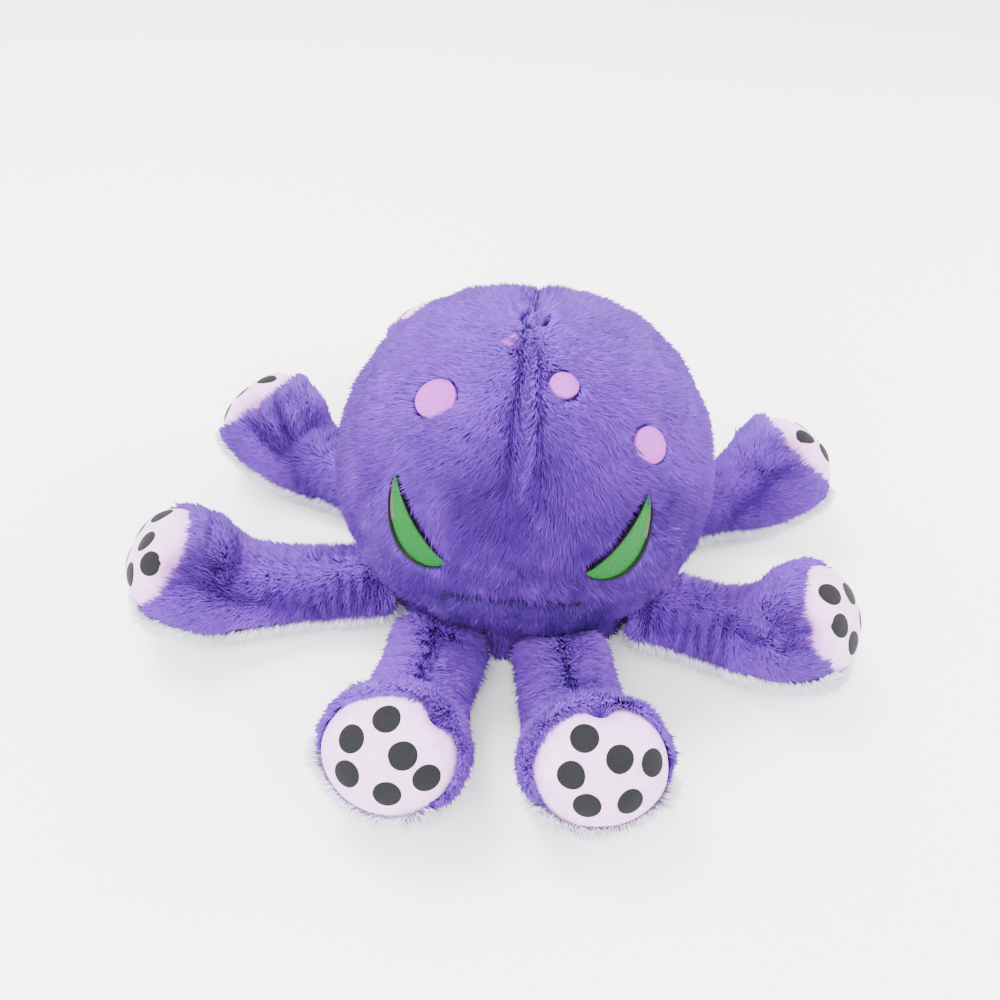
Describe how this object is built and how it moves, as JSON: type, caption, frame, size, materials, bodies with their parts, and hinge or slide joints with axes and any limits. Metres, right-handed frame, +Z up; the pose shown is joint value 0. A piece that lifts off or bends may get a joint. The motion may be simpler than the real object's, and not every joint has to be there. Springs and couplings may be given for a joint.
{
  "type": "plush octopus toy",
  "caption": "Stuffed plush octopus with a round purple head, frowning embroidered eyes and soft arms that end in turned-up feet with dotted pads.",
  "frame": {"origin": "middle of the round base panel, on the floor that the toy sits on", "axes": "+Z up, the face looks towards -Y, +X is the viewer's right when facing the toy"},
  "size_m": [0.4172, 0.4246, 0.1753],
  "materials": {
    "purple_pile": "long soft pile plush",
    "white_pile": "long soft pile plush, pale lavender white",
    "pad_plush": "short smooth pile plush",
    "printed_dots": "matt print on plush",
    "green_thread": "embroidery, slight sheen",
    "black_thread": "embroidery, slight sheen",
    "grey_thread": "embroidery, slight sheen",
    "pink_thread": "fill-stitch embroidery, slight sheen",
    "purple_thread": "sewing thread",
    "filling": "loose fibre"
  },
  "bodies": {
    "head": {"head_front_left": "purple_pile", "head_front_right": "purple_pile", "head_rear_left": "purple_pile", "head_rear_right": "purple_pile", "head_filling": "filling", "yoke_band": "purple_pile", "base_panel": "white_pile", "closing_stitches": "purple_thread", "forehead_spots": "pink_thread", "left_eye_green": "green_thread", "left_eye_outline": "black_thread", "left_eye_corner": "grey_thread", "right_eye_green": "green_thread", "right_eye_outline": "black_thread", "right_eye_corner": "grey_thread", "mouth_stitching": "black_thread"},
    "arm_1": {"arm_1_fur": "purple_pile", "arm_1_underside": "white_pile", "arm_1_pad": "pad_plush", "arm_1_suckers": "printed_dots", "arm_1_filling": "filling"},
    "arm_2": {"arm_2_fur": "purple_pile", "arm_2_underside": "white_pile", "arm_2_pad": "pad_plush", "arm_2_suckers": "printed_dots", "arm_2_filling": "filling"},
    "arm_3": {"arm_3_fur": "purple_pile", "arm_3_underside": "white_pile", "arm_3_pad": "pad_plush", "arm_3_suckers": "printed_dots", "arm_3_filling": "filling"},
    "arm_4": {"arm_4_fur": "purple_pile", "arm_4_underside": "white_pile", "arm_4_pad": "pad_plush", "arm_4_suckers": "printed_dots", "arm_4_filling": "filling"},
    "arm_5": {"arm_5_fur": "purple_pile", "arm_5_underside": "white_pile", "arm_5_pad": "pad_plush", "arm_5_suckers": "printed_dots", "arm_5_filling": "filling"},
    "arm_6": {"arm_6_fur": "purple_pile", "arm_6_underside": "white_pile", "arm_6_pad": "pad_plush", "arm_6_suckers": "printed_dots", "arm_6_filling": "filling"},
    "arm_7": {"arm_7_fur": "purple_pile", "arm_7_underside": "white_pile", "arm_7_pad": "pad_plush", "arm_7_suckers": "printed_dots", "arm_7_filling": "filling"},
    "arm_8": {"arm_8_fur": "purple_pile", "arm_8_underside": "white_pile", "arm_8_pad": "pad_plush", "arm_8_suckers": "printed_dots", "arm_8_filling": "filling"}
  },
  "joints": [
    {"name": "arm_1_lift", "type": "hinge", "parent": "head", "child": "arm_1", "pos_m": [0.02947, -0.09346, 0.019], "axis": [-0.9799, -0.1994, 0], "range_deg": [-60, 30], "stiffness_Nm_per_rad": 0.08},
    {"name": "arm_2_lift", "type": "hinge", "parent": "head", "child": "arm_2", "pos_m": [0.08571, -0.04751, 0.019], "axis": [-0.2588, -0.9659, 0], "range_deg": [-60, 30], "stiffness_Nm_per_rad": 0.08},
    {"name": "arm_3_lift", "type": "hinge", "parent": "head", "child": "arm_3", "pos_m": [0.09054, 0.0375, 0.019], "axis": [0.3987, -0.9171, 0], "range_deg": [-60, 30], "stiffness_Nm_per_rad": 0.08},
    {"name": "arm_4_lift", "type": "hinge", "parent": "head", "child": "arm_4", "pos_m": [0.0375, 0.09054, 0.019], "axis": [0.9239, -0.3827, 0], "range_deg": [-60, 30], "stiffness_Nm_per_rad": 0.08},
    {"name": "arm_5_lift", "type": "hinge", "parent": "head", "child": "arm_5", "pos_m": [-0.0375, 0.09054, 0.019], "axis": [0.9367, 0.3502, 0], "range_deg": [-60, 30], "stiffness_Nm_per_rad": 0.08},
    {"name": "arm_6_lift", "type": "hinge", "parent": "head", "child": "arm_6", "pos_m": [-0.09054, 0.0375, 0.019], "axis": [0.4617, 0.887, 0], "range_deg": [-60, 30], "stiffness_Nm_per_rad": 0.08},
    {"name": "arm_7_lift", "type": "hinge", "parent": "head", "child": "arm_7", "pos_m": [-0.08882, -0.04142, 0.019], "axis": [-0.1908, 0.9816, 0], "range_deg": [-60, 30], "stiffness_Nm_per_rad": 0.08},
    {"name": "arm_8_lift", "type": "hinge", "parent": "head", "child": "arm_8", "pos_m": [-0.03986, -0.08953, 0.019], "axis": [-0.9925, 0.1219, 0], "range_deg": [-60, 30], "stiffness_Nm_per_rad": 0.08}
  ]
}
